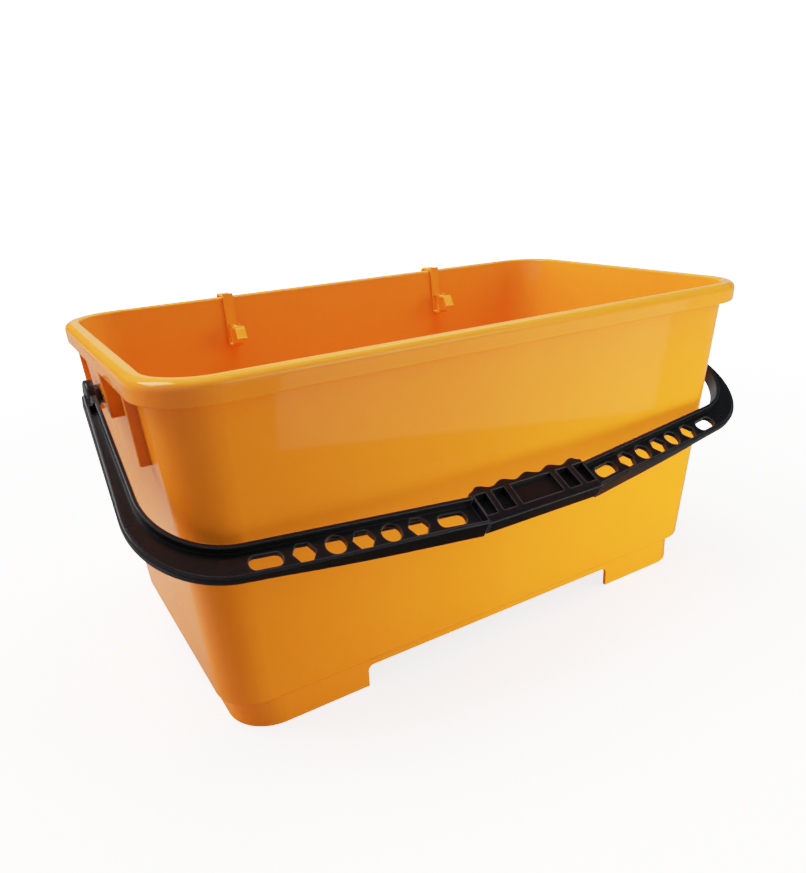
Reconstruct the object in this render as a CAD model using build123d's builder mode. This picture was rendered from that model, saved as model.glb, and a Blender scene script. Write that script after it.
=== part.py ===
from build123d import *
import os
from math import cos, sin, pi, radians, sqrt

# Window cleaning bucket: a long drafted bucket with a rolled rim and four corner
# feet, a swinging bail handle in three mouldings, and two clips that hang on the
# back rim.  X runs along the bucket, the front is -Y, +Z is up and the origin is
# the middle of the footprint, on the ground.  Millimetres.

# ------------------------------------------------------------------ bucket
rim_l, rim_w, rim_r = 500.6, 282.6, 43.3  # rim, before its edge is rounded
height = 255.0
skirt_h, skirt_t = 15.0, 3.0
skirt_draft = 0.9  # the skirt leans in by this much at its lower edge
rim_t = 3.0  # thickness of the flat rim
rim_round = 5.5  # outer top edge of the rim
lip_round = 1.7  # inner top edge of the rim
wall_t, floor_t = 2.5, 3.0
step_z = 23.0  # underside of the floor, on top of the plinth
top_z = height - skirt_h
low_l, low_w, low_r = 446.0, 232.5, 28.5  # outside of the wall at step_z
up_l, up_w, up_r = 481.3, 263.9, 35.5  # outside of the wall at top_z
heel_round = 2.2  # bottom edge of the wall
inner_round = 9.0  # wall to floor, inside
plinth_l, plinth_w, plinth_r, plinth_t = 430.0, 227.5, 31.0, 2.8
arch_z = 17.0  # height of the cut-outs between the feet
arch_x, arch_y = 119.0, 57.0  # half widths of the cut-outs
arch_r = 4.5

# ribs and pivot brackets under the rim at both short ends
rib_y, rib_t, rib_z = 74.0, 3.0, 191.3
rib_x, rib_slope, rib_round = 247.15, 0.072, 1.1  # outer edge of a rib at the skirt
brk_x, brk_t = 246.3, 3.0  # outer face of the bracket plate at its foot, and thickness
brk_y, brk_side_t, brk_z = 21.3, 2.8, 209.4
brk_round = 1.2
panel, panel_z = 0.2, 249.0  # the plate runs on up the skirt, a little proud of it
root_x = 232.0  # ribs and brackets start inside the wall
pivot_z = 221.0
seat_r, neck = 6.05, 5.2  # pivot seat and half width of the snap-in neck
neck_z = 217.3

# ------------------------------------------------------------------ bail handle
rest_deg = 29.45  # below the horizontal, towards the front
web_lo, web_hi = -2.0, 2.0
sec_lo, sec_hi = -7.0, 8.0  # flange edges, measured square to the bail plane
flange_t, flange_t_out = 3.0, 2.4
lip = 2.25  # top of the outer flange round the corner, just proud of the web
# (x, n): the outer flange falls from the grip to the corner
fall_x = [(50.0, 7.95), (119.0, 4.9), (163.0, 2.9), (203.0, lip)]
# (r, n): and rises again towards the pivot
fall_r = [(98.0, lip), (60.0, 4.2), (-1.0, 6.6)]
# (x, n): the underside comes up before the corner
under_x = [(40.0, -7.0), (150.0, -6.9), (222.0, -4.0)]
arm_in = 251.5  # inner face of the arms
arm_out = 260.1  # outer face of the arms, at the pivot
corner_x, corner_r = 266.2, 163.63  # where the outer edges would meet
corner_round_out, corner_round_in = 62.0, 52.0
side_in_0, side_in_slope = 167.0, 0.106  # inner edge: 167 at x = 51, falling outwards
side_out_0, side_out_slope = 191.05, 0.1274
side_x0 = 51.0
flange_round, flange_round_out = 0.9, 1.6
hole_tilt = 7.5
hole_shift = 0.7
slot_holes = [(195.2, 163.2), (70.0, 175.7)]
hex_holes = [(171.6, 165.5), (133.0, 169.4), (94.3, 172.6)]
round_holes = [(151.2, 167.0), (113.8, 171.0)]
slot_l, slot_w, slot_round = 20.8, 10.2, 4.4
hex_r, round_r = 7.6, 6.9

# grip
joint_x, joint_r, joint_slope = 50.5, 166.0, 0.0  # end face of the grip
joint_gap = 0.35
grip_lo, grip_hi = -4.2, 8.0
grip_out = 191.7
wave_mid, wave_amp, wave_pitch = 162.5, 1.6, 21.3
pocket_r0, pocket_r1 = 167.5, 185.0
pocket_floor, middle_floor = 2.0, 4.8
tongue_r, tongue_w, tongue_x = 176.5, 14.0, 37.5
tongue_lo, tongue_hi = -2.0, 0.5
tongue_gap = 0.12

# pivots
pin_r, pin_head_r, spigot_r = 6.0, 8.4, 4.0
pin_head_x0, pin_head_x1 = 240.3, 242.9
spigot_x = 255.3
lug_r, lug_x, lug_round = 11.3, 257.0, 1.6
bush_x0, bush_x1, bush_r, bush_bore = 248.5, 251.4, 7.2, 6.04
fit_gap = 0.03

# ------------------------------------------------------------------ rim clips
clip_x = 110.0  # each side of the middle of the back rim
clip_w, clip_t = 9.0, 1.7
clip_gap = 0.3  # to the rim and the wall
strap_len, strap_nib = 43.0, 0.9
hook_pts = [(0.0, 0.0), (17.3, 0.0), (17.5, 8.0), (9.3, 22.9), (10.8, 30.2)]
hook_rounds = [3.6, 4.0, 2.6]
loop_pts = [(0.0, 30.0), (0.0, strap_len), (-11.2, strap_len), (-9.5, 24.4)]
loop_rounds = [2.6, 2.6]
fork_w, fork_q = 4.6, 28.3  # slot in the limb for the lever
lever_q = 26.6  # where the lever leaves the strap
lever_t, lever_neck_w = 1.6, 3.8
lever_neck_l = 11.9  # narrow part, from the hinge
lever_kink, lever_tip = (-20.0, 27.7), (-23.8, 36.2)
hinge_p, hinge_r = -1.25, 0.95
hinge_gap = 0.06


def wall_at(z):
    """Length, width and corner radius of the outside of the wall at height z."""
    k = (z - step_z) / (top_z - step_z)
    return (
        low_l + k * (up_l - low_l),
        low_w + k * (up_w - low_w),
        low_r + k * (up_r - low_r),
    )


floor_z = step_z + floor_t
draft = (up_w - low_w) / 2 / (top_z - step_z)

# ------------------------------------------------------------------ bucket body
# the room inside the bucket
with BuildPart() as cavity:
    for z in (floor_z, height + 2):
        l, w, r = wall_at(z)
        with BuildSketch(Plane.XY.offset(z)):
            RectangleRounded(l - 2 * wall_t, w - 2 * wall_t, r - wall_t)
    loft(ruled=True)
    fillet(cavity.faces().sort_by(Axis.Z)[0].edges(), inner_round)

# skirt and flat top of the rim
with BuildPart() as skirt:
    for z, d in ((top_z, skirt_draft), (height, 0.0)):
        with BuildSketch(Plane.XY.offset(z)):
            RectangleRounded(rim_l - 2 * d, rim_w - 2 * d, rim_r - d)
    loft(ruled=True)
    for z, d in ((top_z, skirt_draft + skirt_t), (height - rim_t, skirt_t)):
        with BuildSketch(Plane.XY.offset(z)):
            RectangleRounded(rim_l - 2 * d, rim_w - 2 * d, rim_r - d)
    loft(ruled=True, mode=Mode.SUBTRACT)

# tall ribs under the rim
under_rim = height - rim_t + 0.5
with BuildPart() as rib:
    with BuildSketch(Plane.XZ.offset(rib_y)):
        with BuildLine():
            Polyline(
                (root_x, rib_z),
                (rib_x - rib_slope * (top_z - rib_z), rib_z),
                (rib_x, top_z),
                (rib_x, under_rim),
                (root_x, under_rim),
                close=True,
            )
        make_face()
    extrude(amount=rib_t / 2, both=True)
    # the two long outer edges and the outer edge at the foot
    fillet(
        rib.edges().filter_by(lambda e: e.center().X > 243 and e.center().Z < top_z - 1 and e.length > 2),
        rib_round,
    )

with BuildPart() as ribs:
    add(rib.part)
    mirror(about=Plane.XZ)
    mirror(about=Plane.YZ)

# pivot brackets: a plate on two flanges, closed above by the rim, open below
skirt_x = rim_l / 2 - skirt_draft + panel
panel_x = skirt_x + skirt_draft * (panel_z - top_z) / skirt_h
with BuildPart() as bracket:
    for stage in (
        ((brk_z, brk_x), (top_z, skirt_x)),
        ((top_z, skirt_x), (panel_z, panel_x)),
        ((panel_z - 1, rib_x), (under_rim, rib_x)),
    ):
        for z, x in stage:
            y_in = brk_y - brk_side_t
            with BuildSketch(Plane.XY.offset(z)):
                with BuildLine():
                    FilletPolyline(
                        (root_x, -brk_y), (x, -brk_y), (x, brk_y), (root_x, brk_y), radius=brk_round
                    )
                    Polyline(
                        (root_x, brk_y),
                        (root_x, y_in),
                        (x - brk_t, y_in),
                        (x - brk_t, -y_in),
                        (root_x, -y_in),
                        (root_x, -brk_y),
                    )
                make_face()
        loft(ruled=True)
    # pivot seat with its snap-in neck
    with BuildSketch(Plane.YZ.offset(brk_x - 1)):
        with BuildLine():
            Polyline(
                (-brk_y + brk_side_t, brk_z - 2),
                (-brk_y + brk_side_t, brk_z),
                (-neck, neck_z),
                (-neck, pivot_z),
                (neck, pivot_z),
                (neck, neck_z),
                (brk_y - brk_side_t, brk_z),
                (brk_y - brk_side_t, brk_z - 2),
                close=True,
            )
        make_face()
        with Locations((0, pivot_z)):
            Circle(seat_r)
    extrude(amount=3.8, both=True, mode=Mode.SUBTRACT)

with BuildPart() as brackets:
    add(bracket.part)
    mirror(about=Plane.YZ)

with BuildPart() as bucket_body:
    # drafted block that becomes the wall
    for z in (step_z, height):
        l, w, r = wall_at(z)
        with BuildSketch(Plane.XY.offset(z)):
            RectangleRounded(l, w, r)
    loft(ruled=True)
    fillet(bucket_body.faces().sort_by(Axis.Z)[0].edges(), heel_round)

    # rim
    add(skirt.part)
    fillet(bucket_body.faces().sort_by(Axis.Z)[-1].edges(), rim_round)
    skirt_edge = bucket_body.faces().filter_by(Plane.XY).filter_by_position(
        Axis.Z, top_z - 0.01, top_z + 0.01
    )
    fillet(skirt_edge.edges(), 1.0)

    # plinth, then the cut-outs that leave four corner feet
    with BuildSketch():
        RectangleRounded(plinth_l, plinth_w, plinth_r)
        RectangleRounded(
            plinth_l - 2 * plinth_t,
            plinth_w - 2 * plinth_t,
            plinth_r - plinth_t,
            mode=Mode.SUBTRACT,
        )
    extrude(amount=step_z + 1.0)
    with BuildSketch(Plane.XZ):
        with BuildLine():
            FilletPolyline(
                (-arch_x, -5), (-arch_x, arch_z), (arch_x, arch_z), (arch_x, -5), radius=arch_r
            )
            Line((arch_x, -5), (-arch_x, -5))
        make_face()
    extrude(amount=rim_w, both=True, mode=Mode.SUBTRACT)
    with BuildSketch(Plane.YZ):
        with BuildLine():
            FilletPolyline(
                (-arch_y, -5), (-arch_y, arch_z), (arch_y, arch_z), (arch_y, -5), radius=arch_r
            )
            Line((arch_y, -5), (-arch_y, -5))
        make_face()
    extrude(amount=rim_l, both=True, mode=Mode.SUBTRACT)

    add(ribs.part)
    add(brackets.part)

    # hollow it
    add(cavity.part, mode=Mode.SUBTRACT)
    fillet(bucket_body.faces().sort_by(Axis.Z)[-1].inner_wires()[0].edges(), lip_round)

# ------------------------------------------------------------------ bail handle
rest = radians(rest_deg)
# the plane of the bail at rest: its y axis points back from the grip to the pivots
bail = Plane(origin=(0, 0, pivot_z), x_dir=(1, 0, 0), z_dir=(0, -sin(rest), cos(rest)))


def side_in(x, off=0.0):
    return side_in_0 - side_in_slope * (x - side_x0) + off * sqrt(1 + side_in_slope**2)


def side_out(x, off=0.0):
    return side_out_0 - side_out_slope * (x - side_x0) - off * sqrt(1 + side_out_slope**2)


def joint_at(r):
    return joint_x + joint_slope * (r - joint_r)


arm_slope = (corner_x - arm_out) / corner_r  # outer face of the arm leans out a little


def bail_side(origin_r, x_dir, z_dir):
    """A plane square to the bail plane, given by local directions of the bail."""
    at = bail.from_local_coords(Vector(0, -origin_r, 0))
    turn = lambda v: bail.from_local_coords(Vector(*v)) - bail.origin
    return Plane(origin=at, x_dir=turn(x_dir), z_dir=turn(z_dir))


def over_x(line, end, top):
    """Room above (or below) a smooth line drawn along x, through the whole bail."""
    with BuildPart() as room:
        with BuildSketch(bail_side(0, (1, 0, 0), (0, -1, 0))):
            with BuildLine():
                Spline(*line, tangents=((1, 0), (1, 0)))
                Polyline(line[-1], (320.0, end), (320.0, top), (line[0][0], top), line[0])
            make_face()
        extrude(amount=260)
    return room.part


fall_room = over_x(fall_x, lip, sec_hi + 4)
under_room = over_x(under_x, under_x[-1][1], sec_lo - 4)

with BuildPart() as trim:
    # what is taken off the outer flange: only outside the middle of the channel
    with BuildSketch(bail.offset(web_hi - 0.2)):
        with BuildLine():
            x_in = arm_in + flange_t + 1.2
            FilletPolyline(
                (x_in, 0.0),
                (x_in, -side_in(x_in, flange_t + 1.2)),
                (50.5, -side_in(50.5, flange_t + 1.2)),
                radius=corner_round_in + flange_t + 1.2,
            )
            Polyline(
                (50.5, -side_in(50.5, flange_t + 1.2)), (50.5, -230.0), (310.0, -230.0), (310.0, 0.0), (x_in, 0.0)
            )
        make_face()
    extrude(amount=sec_hi + 2 - web_hi)
    add(fall_room, mode=Mode.INTERSECT)
    with BuildSketch(bail_side(0, (0, -1, 0), (-1, 0, 0))):
        with BuildLine():
            Spline(*fall_r, tangents=((-1, 0), (-1, 0.03)))
            Polyline(fall_r[-1], (-1.0, sec_hi + 4), (260.0, sec_hi + 4), (260.0, lip), fall_r[0])
        make_face()
    extrude(amount=-320, mode=Mode.INTERSECT)

with BuildPart() as eye:
    with BuildSketch(Plane.YZ.offset(arm_in)):
        with Locations((0, pivot_z)):
            Circle(lug_r)
    extrude(amount=lug_x - arm_in)
    fillet(eye.edges().filter_by(GeomType.CIRCLE).sort_by(Axis.X)[-1], lug_round)

with BuildPart() as handle_arm_right:
    # outline of the arm, full section height
    e0 = joint_at(side_in(51.2)) + joint_gap
    e1 = joint_at(side_out(55.0)) + joint_gap
    with BuildSketch(bail.offset(sec_lo - 1)):
        with BuildLine():
            inner_line = FilletPolyline(
                (arm_in, -4.5),
                (arm_in, -side_in(arm_in)),
                (e0, -side_in(e0)),
                radius=corner_round_in,
            )
            Line((e0, -side_in(e0)), (e1, -side_out(e1)))
            outer_line = FilletPolyline(
                (e1, -side_out(e1)),
                (corner_x, -corner_r),
                (arm_out + 4.5 * arm_slope, -4.5),
                radius=corner_round_out,
            )
            Line((arm_out + 4.5 * arm_slope, -4.5), (arm_in, -4.5))
        make_face()
    extrude(amount=sec_hi - sec_lo + 1)
    add(under_room, mode=Mode.SUBTRACT)
    add(trim.part, mode=Mode.SUBTRACT)

    # rounded edges of the flanges, taken before the channels are cut
    def along(line, low, high):
        """Edges that follow a line of the outline, between two heights over the bail plane."""
        found = []
        for e in handle_arm_right.edges():
            at = bail.to_local_coords(e @ 0.5)
            lies = abs((e % 0.5).dot(bail.z_dir)) < 0.3 and low < at.Z < high
            if lies and line.distance_to(Vector(at.X, at.Y, 0)) < 0.05:
                found.append(e)
        return found

    fillet(along(outer_line, web_hi, sec_hi + 1), flange_round_out)
    fillet(along(inner_line, web_hi, sec_hi + 1), flange_round)
    fillet(along(outer_line, sec_lo - 1, -3.5), flange_round)
    fillet(along(inner_line, sec_lo - 1, -3.5), flange_round)

    # channels above and below the web
    for z0, up in ((web_hi, sec_hi + 1 - web_hi), (web_lo, sec_lo - 1 - web_lo)):
        with BuildSketch(bail.offset(z0)):
            with BuildLine():
                x_in = arm_in + flange_t
                channel_line = FilletPolyline(
                    (x_in, -15.0),
                    (x_in, -side_in(x_in, flange_t)),
                    (40.0, -side_in(40.0, flange_t)),
                    radius=corner_round_in + flange_t,
                )
                Line((40.0, -side_in(40.0, flange_t)), (40.0, -side_out(40.0, flange_t_out)))
                # the outer corner of the channel, where its two edges would meet
                x_c = corner_x - flange_t_out
                FilletPolyline(
                    (40.0, -side_out(40.0, flange_t_out)),
                    (x_c, -side_out(x_c, flange_t_out)),
                    (arm_out + 15.0 * arm_slope - flange_t_out, -15.0),
                    radius=corner_round_out - flange_t_out,
                )
                Line((arm_out + 15.0 * arm_slope - flange_t_out, -15.0), (x_in, -15.0))
            make_face()
        extrude(amount=up, mode=Mode.SUBTRACT)
    fillet(along(channel_line, sec_hi - 0.1, sec_hi + 0.1), flange_round)
    # holes in the web
    with BuildSketch(bail.offset(web_lo - 0.5)):
        with Locations(*[(x, -r - hole_shift) for x, r in slot_holes]):
            RectangleRounded(slot_l, slot_w, slot_round, rotation=hole_tilt)
        with Locations(*[(x, -r - hole_shift) for x, r in hex_holes]):
            RegularPolygon(hex_r, 6, rotation=hole_tilt)
        with Locations(*[(x, -r - hole_shift) for x, r in round_holes]):
            Circle(round_r)
    extrude(amount=web_hi - web_lo + 1, mode=Mode.SUBTRACT)
    # tongue that plugs into the grip
    with BuildSketch(bail.offset(tongue_lo)):
        with BuildLine():
            r0, r1 = tongue_r - tongue_w / 2, tongue_r + tongue_w / 2
            Polyline(
                (tongue_x, -r0), (joint_at(r0) + 1.5, -r0), (joint_at(r1) + 1.5, -r1), (tongue_x, -r1), close=True
            )
        make_face()
    extrude(amount=tongue_hi - tongue_lo)
    # pivot eye
    add(eye.part)
    with BuildSketch(Plane.YZ.offset(arm_in - 1)):
        with Locations((0, pivot_z)):
            Circle(spigot_r + fit_gap)
    extrude(amount=spigot_x + 0.2 - arm_in + 1, mode=Mode.SUBTRACT)

with BuildPart() as handle_arm_left:
    mirror(handle_arm_right.part, about=Plane.YZ)

with BuildPart() as handle_grip:
    g0, g1 = joint_at(wave_mid + wave_amp), joint_at(grip_out)
    n = 24
    wave = []
    for i in range(2 * n + 1):
        x = g0 * (i - n) / n
        edge = min(1.0, (g0 - abs(x)) / 6.0)  # the wave runs out flat at both ends
        wave.append((x, -(wave_mid + wave_amp - edge * wave_amp * (1 + cos(2 * pi * x / wave_pitch)))))
    with BuildSketch(bail.offset(grip_lo)):
        with BuildLine():
            Spline(*wave)
            Line(wave[-1], (g1, -grip_out))
            Line((g1, -grip_out), (-g1, -grip_out))
            Line((-g1, -grip_out), wave[0])
        make_face()
    extrude(amount=grip_hi - grip_lo)
    crown = handle_grip.faces().filter_by(bail).sort_by(
        lambda f: bail.to_local_coords(f.center()).Z
    )
    fillet(crown[-1].edges(), 0.7)
    crown = handle_grip.faces().filter_by(bail).sort_by(
        lambda f: bail.to_local_coords(f.center()).Z
    )
    fillet(crown[0].edges(), 1.3)
    # pockets in the top
    with BuildSketch(bail.offset(pocket_floor)):
        for s in (-1, 1):
            with BuildLine():
                Polyline(
                    (s * 39.5, -pocket_r0),
                    (s * (joint_at(pocket_r0) - 1.4), -pocket_r0),
                    (s * (joint_at(pocket_r1) - 1.4), -pocket_r1),
                    (s * 40.2, -pocket_r1),
                    close=True,
                )
            make_face()
            with BuildLine():
                Polyline(
                    (s * 23.5, -pocket_r0),
                    (s * 34.5, -pocket_r0),
                    (s * 35.2, -pocket_r1),
                    (s * 24.0, -pocket_r1),
                    close=True,
                )
            make_face()
    extrude(amount=grip_hi + 1 - pocket_floor, mode=Mode.SUBTRACT)
    with BuildSketch(bail.offset(middle_floor)):
        with BuildLine():
            Polyline(
                (-18.0, -pocket_r0), (18.0, -pocket_r0), (18.6, -pocket_r1), (-18.6, -pocket_r1), close=True
            )
        make_face()
    extrude(amount=grip_hi + 1 - middle_floor, mode=Mode.SUBTRACT)
    # sockets for the tongues of the arms
    with BuildSketch(bail.offset(tongue_lo - tongue_gap)):
        for s in (-1, 1):
            with Locations((s * (tongue_x - 0.4 + 12.5), -tongue_r)):
                Rectangle(25, tongue_w + 2 * tongue_gap)
    extrude(amount=tongue_hi - tongue_lo + 2 * tongue_gap, mode=Mode.SUBTRACT)

# ------------------------------------------------------------------ pivots
with BuildPart() as pivot_pin_right:
    with BuildSketch(Plane.YZ.offset(pin_head_x0)):
        with Locations((0, pivot_z)):
            Circle(pin_head_r)
    extrude(amount=pin_head_x1 - pin_head_x0)
    chamfer(pivot_pin_right.edges().filter_by(GeomType.CIRCLE).sort_by(Axis.X)[0], 0.8)
    with BuildSketch(Plane.YZ.offset(pin_head_x1)):
        with Locations((0, pivot_z)):
            Circle(pin_r)
    extrude(amount=arm_in - fit_gap - pin_head_x1)
    with BuildSketch(Plane.YZ.offset(arm_in - 1)):
        with Locations((0, pivot_z)):
            Circle(spigot_r)
    extrude(amount=spigot_x - arm_in + 1)
    chamfer(pivot_pin_right.edges().filter_by(GeomType.CIRCLE).sort_by(Axis.X)[-1], 0.5)

with BuildPart() as pivot_pin_left:
    mirror(pivot_pin_right.part, about=Plane.YZ)

with BuildPart() as pivot_bush_right:
    with BuildSketch(Plane.YZ.offset(bush_x0)):
        with Locations((0, pivot_z)):
            Circle(bush_r)
            Circle(bush_bore, mode=Mode.SUBTRACT)
    extrude(amount=bush_x1 - bush_x0)
    chamfer(
        pivot_bush_right.edges().filter_by(GeomType.CIRCLE).filter_by(lambda e: e.radius > 7), 0.4
    )

with BuildPart() as pivot_bush_left:
    mirror(pivot_bush_right.part, about=Plane.YZ)

# ------------------------------------------------------------------ rim clips
# (p, q): p outwards over the back rim, q down the inside of the wall.  Outside the
# bucket the clip stands square to the rim; inside it leans with the wall.
l, inner_y, r = wall_at(height)
inner_y = inner_y / 2 - wall_t
lean = sqrt(1 + draft**2)
clip_oz = height + clip_gap + clip_t / 2
clip_oy = inner_y + draft * (clip_oz - height) - (clip_gap + clip_t / 2) * lean


def outside(p, q):
    return (clip_oy + p, clip_oz - q)


def inside(p, q):
    return (clip_oy + (p - draft * q) / lean, clip_oz - (draft * p + q) / lean)


with BuildPart() as rim_clip_right:
    half = clip_w / 2
    with BuildSketch(Plane.YZ.offset(clip_x)):
        # hook over the rim
        with BuildLine() as hook:
            FilletPolyline(*[outside(*pt) for pt in hook_pts], radius=hook_rounds)
        trace(hook.line, clip_t)
        # strap down the wall, with a nib above the hook
        with BuildLine() as strap:
            Line(inside(0, -strap_nib - clip_t / 2), inside(0, 31))
        trace(strap.line, clip_t)
        # tool loop at the foot of the strap
        with BuildLine() as loop:
            FilletPolyline(*[inside(*pt) for pt in loop_pts], radius=loop_rounds)
        trace(loop.line, clip_t)
        # nib near the tip of the hook
        with BuildLine():
            Polyline(
                outside(10.4, 25.2), outside(12.6, 26.6), outside(12.3, 27.9), outside(10.8, 28.2), close=True
            )
        make_face()
        # stop inside the loop
        with BuildLine():
            Polyline(
                inside(-10.2, 34.0), inside(-8.3, 34.6), inside(-7.0, 36.0), inside(-7.4, 39.8), inside(-10.6, 40.2), close=True
            )
        make_face()
    extrude(amount=half, both=True)
    # hinge seat of the lever
    with BuildSketch(Plane.YZ.offset(clip_x)):
        with Locations(inside(hinge_p, lever_q)):
            Circle(hinge_r + hinge_gap)
    extrude(amount=lever_neck_w / 2 + 0.3, both=True, mode=Mode.SUBTRACT)
    # fork at the top of the limb
    with BuildSketch(Plane.YZ.offset(clip_x)):
        with BuildLine():
            Polyline(
                inside(-14.0, 22.0), inside(-7.0, 22.0), inside(-7.0, fork_q), inside(-14.0, fork_q), close=True
            )
        make_face()
    extrude(amount=fork_w / 2, both=True, mode=Mode.SUBTRACT)

with BuildPart() as rim_clip_left:
    mirror(rim_clip_right.part, about=Plane.YZ)

with BuildPart() as clip_lever_right:
    dq = lever_kink[1] - lever_q
    dp = lever_kink[0] - hinge_p
    neck_end = (hinge_p - lever_neck_l, lever_q + dq * lever_neck_l / -dp)
    # hinge bead and narrow neck
    with BuildSketch(Plane.YZ.offset(clip_x)):
        with Locations(inside(hinge_p, lever_q)):
            Circle(hinge_r)
    extrude(amount=lever_neck_w / 2, both=True)
    with BuildSketch(Plane.YZ.offset(clip_x)):
        with BuildLine() as neck_line:
            Line(inside(hinge_p, lever_q), inside(neck_end[0] - 1, neck_end[1]))
        trace(neck_line.line, lever_t)
    extrude(amount=lever_neck_w / 2, both=True)
    # wide part with the thumb tail, a rounded tip and a nib on the bend
    with BuildSketch(Plane.YZ.offset(clip_x)):
        with BuildLine() as tail:
            FilletPolyline(
                inside(*neck_end), inside(*lever_kink), inside(*lever_tip), radius=1.6
            )
        trace(tail.line, lever_t)
        with Locations(inside(*lever_tip)):
            Circle(lever_t / 2 + 0.15)
        with BuildLine():
            Polyline(
                inside(-18.2, 27.4), inside(-18.6, 26.0), inside(-19.8, 25.8), inside(-20.6, 27.6), inside(-19.5, 28.2), close=True
            )
        make_face()
    extrude(amount=clip_w / 2, both=True)

with BuildPart() as clip_lever_left:
    mirror(clip_lever_right.part, about=Plane.YZ)

# ------------------------------------------------------------------ write
os.makedirs("parts", exist_ok=True)
pieces = {
    "bucket_body": bucket_body,
    "handle_arm_left": handle_arm_left,
    "handle_arm_right": handle_arm_right,
    "handle_grip": handle_grip,
    "pivot_pin_left": pivot_pin_left,
    "pivot_pin_right": pivot_pin_right,
    "pivot_bush_left": pivot_bush_left,
    "pivot_bush_right": pivot_bush_right,
    "rim_clip_left": rim_clip_left,
    "rim_clip_right": rim_clip_right,
    "clip_lever_left": clip_lever_left,
    "clip_lever_right": clip_lever_right,
}
for name, piece in pieces.items():
    piece.part.label = name
    export_step(piece.part, f"parts/{name}.step")
    b = piece.part.bounding_box()
    print(
        name,
        len(piece.part.solids()),
        "solid",
        piece.part.is_valid,
        round(piece.part.volume / 1000, 2),
        "cm3",
        [round(v, 2) for v in (b.min.X, b.min.Y, b.min.Z, b.max.X, b.max.Y, b.max.Z)],
    )
print("lever hinge (y, z)", inside(hinge_p, lever_q))
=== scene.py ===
import math

import bpy
from mathutils import Matrix, Vector

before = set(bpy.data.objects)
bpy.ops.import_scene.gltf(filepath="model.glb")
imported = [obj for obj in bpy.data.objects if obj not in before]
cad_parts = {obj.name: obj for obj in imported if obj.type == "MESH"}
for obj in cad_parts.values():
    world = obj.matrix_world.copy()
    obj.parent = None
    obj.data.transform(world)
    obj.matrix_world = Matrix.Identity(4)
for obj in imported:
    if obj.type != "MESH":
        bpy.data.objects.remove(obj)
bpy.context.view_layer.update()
scene = bpy.context.scene


# ---------------------------------------------------------------- node helpers
def new_material(name):
    mat = bpy.data.materials.new(name)
    mat.use_nodes = True
    mat.node_tree.nodes.clear()
    return mat


class Net:
    """Small helper that adds nodes and links them."""

    def __init__(self, tree):
        self.tree = tree

    def add(self, kind, props=None, **inputs):
        node = self.tree.nodes.new(kind)
        for key, value in (props or {}).items():
            setattr(node, key, value)
        for key, value in inputs.items():
            self.put(node, key, value)
        return node

    def put(self, node, key, value):
        sock = node.inputs[int(key[1:])] if key[0] == "i" and key[1:].isdigit() else node.inputs[key.replace("_", " ")]
        if isinstance(value, bpy.types.NodeSocket):
            self.tree.links.new(value, sock)
        else:
            sock.default_value = value

    def math(self, op, a, b=0.0, c=None, clamp=False):
        node = self.add("ShaderNodeMath", {"operation": op, "use_clamp": clamp}, i0=a, i1=b)
        if c is not None:
            self.put(node, "i2", c)
        return node.outputs[0]

    def noise(self, vector, scale, detail=2.0, rough=0.5, stretch=None):
        if stretch:
            vector = self.add("ShaderNodeMapping", i0=vector, Scale=stretch).outputs[0]
        node = self.add("ShaderNodeTexNoise", Vector=vector, Scale=scale, Detail=detail, Roughness=rough)
        return node.outputs["Fac"]

    def ramp(self, fac, low, high, to_low=0.0, to_high=1.0):
        node = self.add(
            "ShaderNodeMapRange", {"clamp": True}, Value=fac, i1=low, i2=high, i3=to_low, i4=to_high
        )
        return node.outputs[0]

    def mix_colour(self, fac, a, b, blend="MIX"):
        node = self.tree.nodes.new("ShaderNodeMix")
        node.data_type = "RGBA"
        node.blend_type = blend
        self.put(node, "i0", fac)
        for index, value in ((6, a), (7, b)):
            if isinstance(value, bpy.types.NodeSocket):
                self.tree.links.new(value, node.inputs[index])
            else:
                node.inputs[index].default_value = (*value, 1.0)
        return node.outputs[2]


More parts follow.
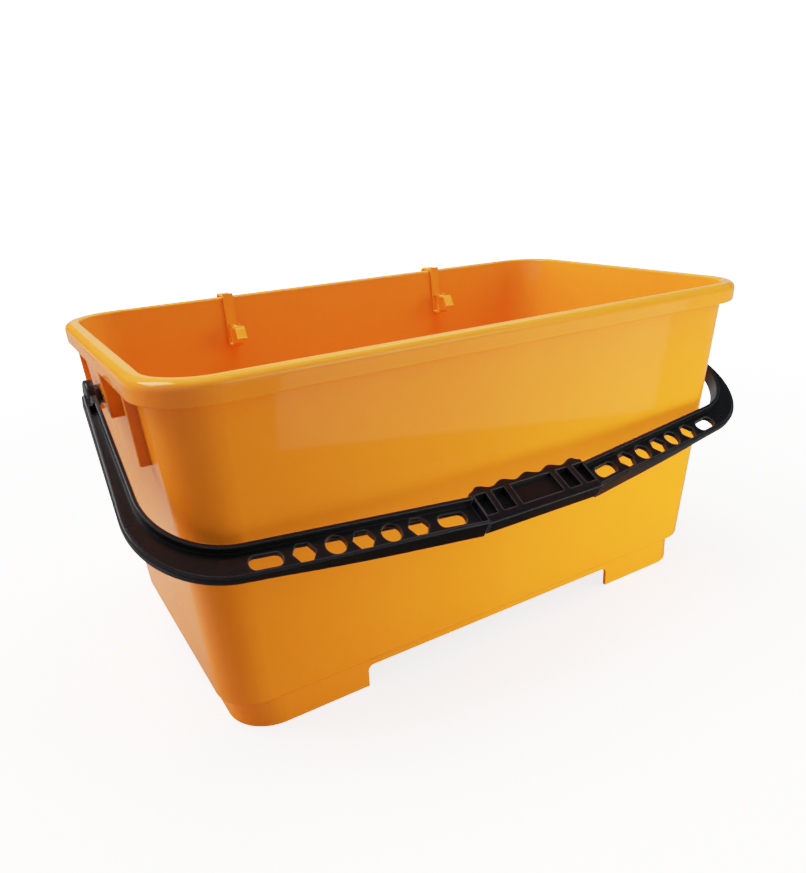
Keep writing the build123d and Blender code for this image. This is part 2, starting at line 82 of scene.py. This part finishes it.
def moulded(name, colour_a, colour_b, rough, spread, ior, grain, edge, specks=0.0, edge_highlight=None, shine=0.5):
    """Injection moulded plastic: slow colour drift along the flow of the melt, fine
    handling marks in the gloss, a slight unevenness of the skin and eased edges, and when asked, thin edges lightened
    to grey as a painted highlight."""
    mat = new_material(name)
    net = Net(mat.node_tree)
    place = net.add("ShaderNodeTexCoord").outputs["Object"]
    # colour
    flow = net.noise(place, 7.0, 3.0, 0.55, stretch=(1.0, 1.0, 0.45))
    fine = net.noise(place, 95.0, 2.0, 0.6)
    drift = net.math("MULTIPLY_ADD", fine, 0.25, net.math("MULTIPLY", flow, 0.75))
    colour = net.mix_colour(net.ramp(drift, 0.3, 0.7), colour_a, colour_b)
    if specks:
        cells = net.add("ShaderNodeTexVoronoi", {"feature": "F1"}, Vector=place, Scale=42.0)
        near = net.ramp(cells.outputs["Distance"], 0.018, 0.034, 1.0, 0.0)
        pick = net.math("GREATER_THAN", net.add("ShaderNodeSeparateColor", Color=cells.outputs["Color"]).outputs[0], 0.86)
        dot = net.math("MULTIPLY", net.math("MULTIPLY", near, pick), specks)
        colour = net.mix_colour(dot, colour, tuple(0.45 * c for c in colour_a))
    if edge_highlight:
        # painted highlight: thin convex edges are lightened towards a light grey, patchy by noise, in place of
        # highlight lines along the edges
        thin = net.add("ShaderNodeAmbientOcclusion", {"inside": True, "only_local": True, "samples": 8}, Distance=0.0011)
        highlight_edge_mask = net.ramp(thin.outputs["AO"], 0.62, 0.95, 1.0, 0.0)
        patch = net.ramp(net.noise(place, 60.0, 4.0, 0.65), 0.35, 0.65, 0.5, 1.0)
        colour = net.mix_colour(net.math("MULTIPLY", highlight_edge_mask, patch), colour, edge_highlight)
    # gloss: cloudy, with fine rubbed streaks
    cloud = net.noise(place, 22.0, 3.0, 0.6)
    streak = net.noise(place, 260.0, 2.0, 0.5, stretch=(0.12, 1.0, 1.0))
    gloss = net.math("MULTIPLY_ADD", streak, 0.45, net.math("MULTIPLY", cloud, 0.55))
    roughness = net.ramp(gloss, 0.32, 0.68, rough - spread, rough + spread)
    # skin
    peel = net.noise(place, 180.0, 2.0, 0.5)
    skin = net.noise(place, 1900.0, 2.0, 0.5)
    height = net.math("MULTIPLY_ADD", peel, grain[1], net.math("MULTIPLY", skin, grain[0]))
    eased = net.add("ShaderNodeBevel", {"samples": 6}, Radius=edge).outputs[0]
    bump = net.add("ShaderNodeBump", Strength=1.0, Distance=1.0, Height=height, Normal=eased)
    shader = net.add("ShaderNodeBsdfPrincipled", Base_Color=colour, Roughness=roughness, Normal=bump.outputs[0])
    shader.inputs["IOR"].default_value = ior
    shader.inputs["Specular IOR Level"].default_value = shine
    out = net.add("ShaderNodeOutputMaterial")
    mat.node_tree.links.new(shader.outputs[0], out.inputs["Surface"])
    return mat


finishes = {
    "bucket_plastic": moulded(
        "bucket_plastic", (0.845, 0.212, 0.0120), (0.875, 0.232, 0.0148),
        rough=0.045, spread=0.018, ior=1.49, grain=(0.0000004, 0.0000014), edge=0.0006, specks=0.35,
    ),
    # the handle's thin edges carry a painted highlight in light grey
    "handle_plastic": moulded(
        "handle_plastic", (0.0020, 0.0021, 0.0022), (0.0033, 0.0033, 0.0033),
        rough=0.29, spread=0.03, ior=1.49, grain=(0.000006, 0.000006), edge=0.0009, edge_highlight=(0.050, 0.049, 0.049),
    ),
    "pivot_plastic": moulded(
        "pivot_plastic", (0.0085, 0.0078, 0.0075), (0.0120, 0.0110, 0.0105),
        rough=0.30, spread=0.05, ior=1.49, grain=(0.000006, 0.000006), edge=0.0004,
    ),
    "clip_plastic": moulded(
        "clip_plastic", (0.875, 0.245, 0.0100), (0.905, 0.270, 0.0125),
        rough=0.22, spread=0.05, ior=1.49, grain=(0.000002, 0.000008), edge=0.0003,
    ),
}
for name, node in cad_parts.items():
    for holder in node.material_slots:
        kind = holder.material.name.split(".")[0]
        holder.material = finishes[kind]


# ---------------------------------------------------------------- floor
floor_mesh = bpy.data.meshes.new("floor")
reach = 12.0
floor_mesh.from_pydata(
    [(-reach, -reach, 0), (reach, -reach, 0), (reach, reach, 0), (-reach, reach, 0)], [], [(0, 1, 2, 3)]
)
floor = bpy.data.objects.new("floor", floor_mesh)
scene.collection.objects.link(floor)
sheet = new_material("floor_sheet")
net = Net(sheet.node_tree)
spot = net.add("ShaderNodeTexCoord").outputs["Object"]
far = net.add("ShaderNodeVectorMath", {"operation": "LENGTH"}, i0=spot).outputs["Value"]
seen = net.add("ShaderNodeLightPath").outputs["Is Camera Ray"]
tooth = net.noise(spot, 900.0, 2.0, 0.6)
parts = net.add("ShaderNodeSeparateXYZ", i0=spot).outputs
smooth = {"clamp": True, "interpolation_type": "SMOOTHSTEP"}
# painted light on the floor as reflections see it: bright behind and beside the bucket, dimmer further back, near
# black in front
behind = net.add("ShaderNodeMapRange", smooth, Value=parts["Y"], i1=-0.20, i2=0.02, i3=0.0, i4=1.0).outputs[0]
beside = net.add("ShaderNodeMapRange", smooth, Value=parts["X"], i1=-0.44, i2=-0.34, i3=0.0, i4=1.0).outputs[0]
away = net.add("ShaderNodeMapRange", smooth, Value=parts["Y"], i1=0.05, i2=0.40, i3=0.46, i4=0.24).outputs[0]
shade = net.math("MULTIPLY_ADD", net.math("MULTIPLY", behind, beside), away, 0.02)
rays = net.add("ShaderNodeLightPath").outputs
mirrored = net.add("ShaderNodeCombineColor", i0=shade, i1=shade, i2=shade).outputs[0]
# painted shade on the floor as bounce rays see it: a darker patch by the front-left corner of the bucket, so that
# corner gets less bounce light
apart = net.add("ShaderNodeVectorMath", {"operation": "DISTANCE"}, i0=spot, i1=(-0.40, -0.38, 0.0)).outputs["Value"]
bounce = net.add("ShaderNodeMapRange", smooth, Value=apart, i1=0.10, i2=0.42, i3=0.15, i4=0.90).outputs[0]
bounced = net.add("ShaderNodeCombineColor", i0=bounce, i1=bounce, i2=bounce).outputs[0]
tone = net.mix_colour(rays["Is Glossy Ray"], bounced, mirrored)
tone = net.mix_colour(seen, tone, (0.94, 0.94, 0.94))
matt = net.add("ShaderNodeBsdfDiffuse", Color=tone)
bump = net.add("ShaderNodeBump", Strength=0.1, Distance=0.0002, Height=tooth)
net.put(matt, "Normal", bump.outputs[0])
glow = net.add("ShaderNodeEmission", Color=(1, 1, 1, 1), Strength=net.mix_colour(seen, (0.4, 0.4, 0.4), (3.3, 3.3, 3.3)))
fade = net.add("ShaderNodeMapRange", {"clamp": True, "interpolation_type": "SMOOTHSTEP"}, Value=far, i1=0.42, i2=1.25, i3=0.0, i4=1.0)
lift = net.add("ShaderNodeEmission", Color=(1, 1, 1, 1), Strength=net.math("MULTIPLY", seen, 1.3))
near = net.add("ShaderNodeAddShader", i0=matt.outputs[0], i1=lift.outputs[0])
both = net.add("ShaderNodeMixShader", i0=fade.outputs[0], i1=near.outputs[0], i2=glow.outputs[0])
under = net.math("MULTIPLY", net.add("ShaderNodeNewGeometry").outputs["Backfacing"], seen)
gone = net.math("MAXIMUM", under, rays["Is Shadow Ray"])
both = net.add("ShaderNodeMixShader", i0=gone, i1=both.outputs[0], i2=net.add("ShaderNodeBsdfTransparent").outputs[0])
out = net.add("ShaderNodeOutputMaterial")
sheet.node_tree.links.new(both.outputs[0], out.inputs["Surface"])
floor_mesh.materials.append(sheet)


# ---------------------------------------------------------------- light
world = bpy.data.worlds.new("studio")
scene.world = world
world.use_nodes = True
world.node_tree.nodes.clear()
net = Net(world.node_tree)
way = net.add("ShaderNodeTexCoord").outputs["Generated"]


def soft_sky(lobes, fill, band=0.0):
    """Sum of soft patches of sky, each (turn from +Y towards +X, height, edge, brightness)."""
    total = None
    for turn_deg, height_deg, edge, bright in lobes:
        t, h = math.radians(turn_deg), math.radians(height_deg)
        to = (math.sin(t) * math.cos(h), math.cos(t) * math.cos(h), math.sin(h))
        dot = net.add("ShaderNodeVectorMath", {"operation": "DOT_PRODUCT"}, i0=way, i1=to).outputs["Value"]
        lobe = net.add(
            "ShaderNodeMapRange", {"clamp": True, "interpolation_type": "SMOOTHSTEP"},
            Value=dot, i1=edge, i2=1.0, i3=0.0, i4=bright,
        ).outputs[0]
        total = net.math("ADD", lobe, fill if total is None else total)
    if band:
        parts = net.add("ShaderNodeSeparateXYZ", i0=way).outputs
        low = net.add("ShaderNodeMapRange", smooth, Value=parts["Z"], i1=0.225, i2=0.275, i3=band, i4=0.0).outputs[0]
        rear = net.add("ShaderNodeMapRange", smooth, Value=parts["Y"], i1=0.0, i2=0.5, i3=0.0, i4=1.0).outputs[0]
        side = net.add("ShaderNodeMapRange", smooth, Value=parts["X"], i1=-0.03, i2=0.09, i3=0.0, i4=1.0).outputs[0]
        total = net.math("MULTIPLY_ADD", low, net.math("MULTIPLY", rear, side), total)
    return net.add("ShaderNodeBackground", Color=(1, 1, 1, 1), Strength=total).outputs[0]


shade_sky = soft_sky([(315, 12, 0.75, 2.05), (225, 45, 0.75, 0.10), (262, 12, 0.80, 0.95)], 0.06)
gloss_sky = soft_sky(
    [
        (270, 12, 0.75, 0.4), (0, 90, 0.80, 0.15), (225, 12, 0.75, 0.36),
        (0, 45, 0.75, 0.06), (315, 45, 0.75, 0.1), (45, 42, 0.95, 1.6), (150, 20, 0.94, 1.8),
    ],
    0.05, band=0.42,
)
paper = net.add("ShaderNodeBackground", Color=(1, 1, 1, 1), Strength=3.3).outputs[0]
path = net.add("ShaderNodeLightPath")
both = net.add("ShaderNodeMixShader", i0=path.outputs["Is Glossy Ray"], i1=shade_sky, i2=gloss_sky).outputs[0]
both = net.add("ShaderNodeMixShader", i0=path.outputs["Is Camera Ray"], i1=both, i2=paper).outputs[0]
out = net.add("ShaderNodeOutputWorld")
world.node_tree.links.new(both, out.inputs["Surface"])


bucket_only = bpy.data.collections.new("bucket_only")
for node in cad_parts.values():
    bucket_only.objects.link(node)


still_only = bpy.data.collections.new("still_only")
still_only.objects.link(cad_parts["bucket_body"])
floor_only = bpy.data.collections.new("floor_only")
floor_only.objects.link(floor)


def panel(name, place, target, size, radiance, gloss=True, shade=True, floor_too=True):
    """A soft rectangular light of a given brightness, aimed at a point."""
    data = bpy.data.lights.new(name, "AREA")
    data.shape = "RECTANGLE"
    data.size, data.size_y = size
    data.energy = radiance * math.pi * size[0] * size[1]
    lamp = bpy.data.objects.new(name, data)
    aim = (Vector(target) - Vector(place)).to_track_quat("-Z", "Y").to_matrix().to_4x4()
    lamp.matrix_world = Matrix.Translation(Vector(place)) @ aim
    lamp.visible_camera = False
    lamp.visible_glossy = gloss
    lamp.visible_diffuse = shade
    if not floor_too:
        lamp.light_linking.receiver_collection = bucket_only
    scene.collection.objects.link(lamp)
    return lamp


overhead = panel("overhead", (0.05, 0.10, 1.1), (0.0, 0.0, 0.15), (1.2, 0.8), 3.9, gloss=False, floor_too=False)
overhead.data.color = (0.93, 1.62, 3.2)
over_floor = panel("over_floor", (0.05, 0.10, 1.12), (0.0, 0.0, 0.15), (1.2, 0.8), 3.9, gloss=False)
over_floor.light_linking.receiver_collection = floor_only
right_front = panel("right_front", (1.15, -0.75, 0.65), (0.05, -0.12, 0.10), (0.8, 0.7), 4.5, gloss=False)
right_front.data.color = (1.0, 1.10, 1.0)
panel("left_back", (-0.75, 0.55, 0.20), (-0.2, 0.0, 0.1), (0.7, 0.4), 3.4, gloss=False, floor_too=False)
panel("left_high", (-0.80, 0.26, 1.15), (-0.10, 0.0, 0.15), (0.65, 0.65), 6.0, shade=False)
left_soft = panel("left_soft", (-0.82, 0.27, 1.18), (-0.10, 0.0, 0.15), (0.65, 0.65), 6.3, gloss=False)
left_soft.data.color = (1.0, 0.87, 0.75)
panel("from_below", (0.0, 0.0, -0.9), (0.0, 0.01, 0.0), (1.4, 1.1), 0.7)
# white card that stands on the floor in front of the right half
card_a, card_b, card_h = Vector((-0.030, -0.497, 0.0)), Vector((0.452, -0.364, 0.0)), 0.20
across = card_b - card_a
middle = (card_a + card_b) / 2 + Vector((0, 0, card_h / 2))
facing = middle + Vector((-across.y, across.x, 0.0))
lower = Vector((0, 0, -0.03))
card = panel("card", middle + lower, facing + lower, (across.length, card_h - 0.06), 8.8, gloss=False, floor_too=False)
card.data.color = (1.0, 1.14, 1.0)
card.light_linking.blocker_collection = still_only
ahead_of = (facing - middle).normalized() * 0.01
panel("card_sheen", middle + ahead_of, facing + ahead_of, (across.length, card_h), 0.46, shade=False, floor_too=False)
# and its like behind the bucket, for the gloss of the back wall
mirror = Matrix.Diagonal((1.0, -1.0, 1.0))
panel("back_sheen", mirror @ middle, mirror @ facing, (across.length, card_h), 0.46, shade=False, floor_too=False)


# ---------------------------------------------------------------- camera
yaw, pitch, roll = (math.radians(v) for v in (30.548, 19.688, -2.881))
ahead = Vector((math.sin(yaw) * math.cos(pitch), math.cos(yaw) * math.cos(pitch), -math.sin(pitch)))
right = Vector((math.cos(yaw), -math.sin(yaw), 0.0))
up = right.cross(ahead)
right, up = math.cos(roll) * right + math.sin(roll) * up, -math.sin(roll) * right + math.cos(roll) * up
cam_data = bpy.data.cameras.new("camera")
cam_data.sensor_fit = "HORIZONTAL"
cam_data.sensor_width = 36.0
cam_data.lens = 743.85 * 36.0 / 806.0
cam_data.clip_start, cam_data.clip_end = 0.02, 100.0
cam = bpy.data.objects.new("camera", cam_data)
turn = Matrix((right, up, -ahead)).transposed().to_4x4()
cam.matrix_world = Matrix.Translation((-0.31973, -0.51914, 0.35338)) @ turn
scene.collection.objects.link(cam)
scene.camera = cam

# ---------------------------------------------------------------- picture
view = scene.view_settings
view.view_transform = "Standard"
view.look = "None"
view.exposure = 0.0
view.gamma = 1.0
view.use_curve_mapping = True
curves = view.curve_mapping
curves.black_level = (0.0, 0.0, 0.0)
curves.white_level = (3.0, 3.0, 3.0)
line = curves.curves[3]
for x, y in ((0.20, 0.205), (0.43, 0.445), (0.62, 0.575), (0.94, 0.72), (1.39, 0.835), (1.63, 0.88), (2.2, 0.955)):
    line.points.new(x / 3.0, y)
curves.update()
